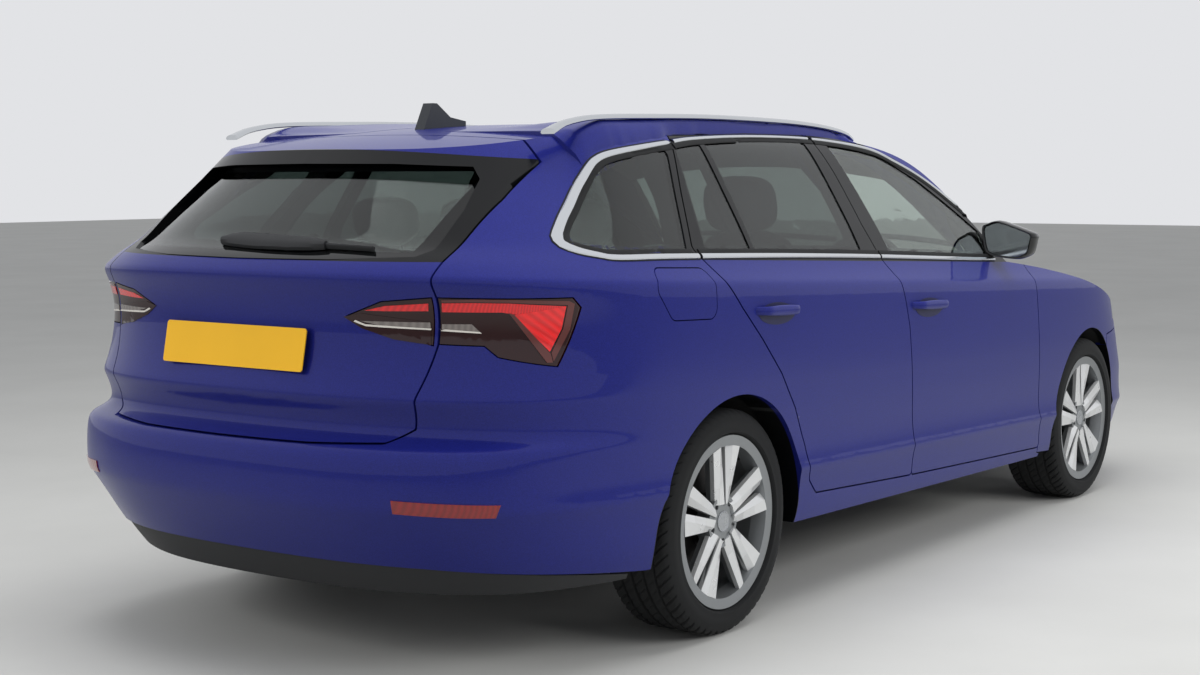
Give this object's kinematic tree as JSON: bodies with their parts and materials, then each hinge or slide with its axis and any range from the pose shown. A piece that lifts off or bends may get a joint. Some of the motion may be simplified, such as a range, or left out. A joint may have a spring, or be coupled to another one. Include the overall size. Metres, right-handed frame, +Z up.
{
  "type": "station wagon",
  "caption": "Five-door estate car with raised roof rails, opening doors, bonnet and tailgate, steered front wheels and a hollow cabin with a load bay.",
  "frame": {"origin": "on the ground, midway along and across the car", "axes": "+X towards the front, +Y to the car's left, +Z up"},
  "size_m": [4.6907, 2.003, 1.4989],
  "materials": {
    "paint": "clear-coated gloss blue",
    "black_gloss": "gloss",
    "headlamp": "clear lens",
    "lamp_red": "red lens",
    "clear_glass": "lightly tinted",
    "privacy_glass": "dark tinted",
    "rail": "anodised silver",
    "underbody": "satin black coating",
    "engine": "bare casting",
    "steel": "dull",
    "iron": "bare casting",
    "black_plastic": "grained",
    "trim_plastic": "soft grain",
    "seat_cloth": "woven cloth",
    "tyre": "rubber",
    "alloy": "lacquered silver"
  },
  "bodies": {
    "body": {"body_side_left": "paint", "body_side_right": "paint", "cowl": "black_plastic", "roof_panel": "paint", "front_wings": "paint", "front_bumper": "paint", "rear_bumper": "paint", "rear_valance": "black_plastic", "grille": "black_gloss", "headlamps": "headlamp", "tail_lamps": "lamp_red", "windscreen": "clear_glass", "quarter_glass": "privacy_glass", "roof_rails": "rail", "roof_antenna": "paint", "floor_pan": "underbody", "front_frame": "underbody", "engine_block": "engine", "front_axle": "underbody", "rear_axle": "underbody", "fuel_tank": "black_plastic", "exhaust": "steel", "front_seats": "seat_cloth", "rear_seat": "seat_cloth", "dashboard": "trim_plastic"},
    "door_front_left": {"door_front_left": "paint", "glass_front_left": "clear_glass", "mirror_left": "black_plastic"},
    "door_rear_left": {"door_rear_left": "paint", "glass_rear_left": "privacy_glass"},
    "knuckle_left": {"knuckle_left": "iron"},
    "wheel_front_left": {"tyre_front_left": "tyre", "rim_front_left": "alloy"},
    "wheel_rear_left": {"tyre_rear_left": "tyre", "rim_rear_left": "alloy"},
    "door_front_right": {"door_front_right": "paint", "glass_front_right": "clear_glass", "mirror_right": "black_plastic"},
    "door_rear_right": {"door_rear_right": "paint", "glass_rear_right": "privacy_glass"},
    "knuckle_right": {"knuckle_right": "iron"},
    "wheel_front_right": {"tyre_front_right": "tyre", "rim_front_right": "alloy"},
    "wheel_rear_right": {"tyre_rear_right": "tyre", "rim_rear_right": "alloy"},
    "bonnet": {"bonnet": "paint"},
    "tailgate": {"tailgate": "paint", "tailgate_glass": "privacy_glass", "tailgate_lamps": "lamp_red"},
    "fuel_flap": {"fuel_flap": "paint"},
    "steering_wheel": {"steering_wheel": "trim_plastic"}
  },
  "joints": [
    {"name": "front_door_left", "type": "hinge", "parent": "body", "child": "door_front_left", "pos_m": [0.985, 0.917, 0.65], "axis": [0, 0, -1], "range_deg": [0, 65]},
    {"name": "rear_door_left", "type": "hinge", "parent": "body", "child": "door_rear_left", "pos_m": [-0.109, 0.917, 0.65], "axis": [0, 0, -1], "range_deg": [0, 68]},
    {"name": "steering_left", "type": "hinge", "parent": "body", "child": "knuckle_left", "pos_m": [1.4645, 0.705, 0.3186], "axis": [0, 0, 1], "range_deg": [-35, 35]},
    {"name": "front_wheel_left", "type": "hinge", "parent": "knuckle_left", "child": "wheel_front_left", "pos_m": [1.4645, 0.7715, 0.3186], "axis": [0, 1, 0], "continuous": true},
    {"name": "rear_wheel_left", "type": "hinge", "parent": "body", "child": "wheel_rear_left", "pos_m": [-1.2215, 0.7675, 0.3186], "axis": [0, 1, 0], "continuous": true},
    {"name": "front_door_right", "type": "hinge", "parent": "body", "child": "door_front_right", "pos_m": [0.985, -0.917, 0.65], "axis": [0, 0, 1], "range_deg": [0, 65]},
    {"name": "rear_door_right", "type": "hinge", "parent": "body", "child": "door_rear_right", "pos_m": [-0.109, -0.917, 0.65], "axis": [0, 0, 1], "range_deg": [0, 68]},
    {"name": "steering_right", "type": "hinge", "parent": "body", "child": "knuckle_right", "pos_m": [1.4645, -0.705, 0.3186], "axis": [0, 0, 1], "range_deg": [-35, 35]},
    {"name": "front_wheel_right", "type": "hinge", "parent": "knuckle_right", "child": "wheel_front_right", "pos_m": [1.4645, -0.7715, 0.3186], "axis": [0, 1, 0], "continuous": true},
    {"name": "rear_wheel_right", "type": "hinge", "parent": "body", "child": "wheel_rear_right", "pos_m": [-1.2215, -0.7675, 0.3186], "axis": [0, 1, 0], "continuous": true},
    {"name": "bonnet_hinge", "type": "hinge", "parent": "body", "child": "bonnet", "pos_m": [1.03, 0, 1], "axis": [0, -1, 0], "range_deg": [0, 55]},
    {"name": "tailgate_hinge", "type": "hinge", "parent": "body", "child": "tailgate", "pos_m": [-1.69, 0, 1.412], "axis": [0, 1, 0], "range_deg": [0, 80]},
    {"name": "fuel_flap_hinge", "type": "hinge", "parent": "body", "child": "fuel_flap", "pos_m": [-1.352, -0.914, 0.97], "axis": [0, 0, 1], "range_deg": [0, 90]},
    {"name": "steering_wheel_turn", "type": "hinge", "parent": "body", "child": "steering_wheel", "pos_m": [0.48, -0.37, 0.89], "axis": [-0.9063, 0, 0.4226], "range_deg": [-490, 490]}
  ],
  "couplings": [
    {"joint": "steering_right", "follows": "steering_left", "ratio": 1},
    {"joint": "steering_wheel_turn", "follows": "steering_left", "ratio": 14}
  ]
}
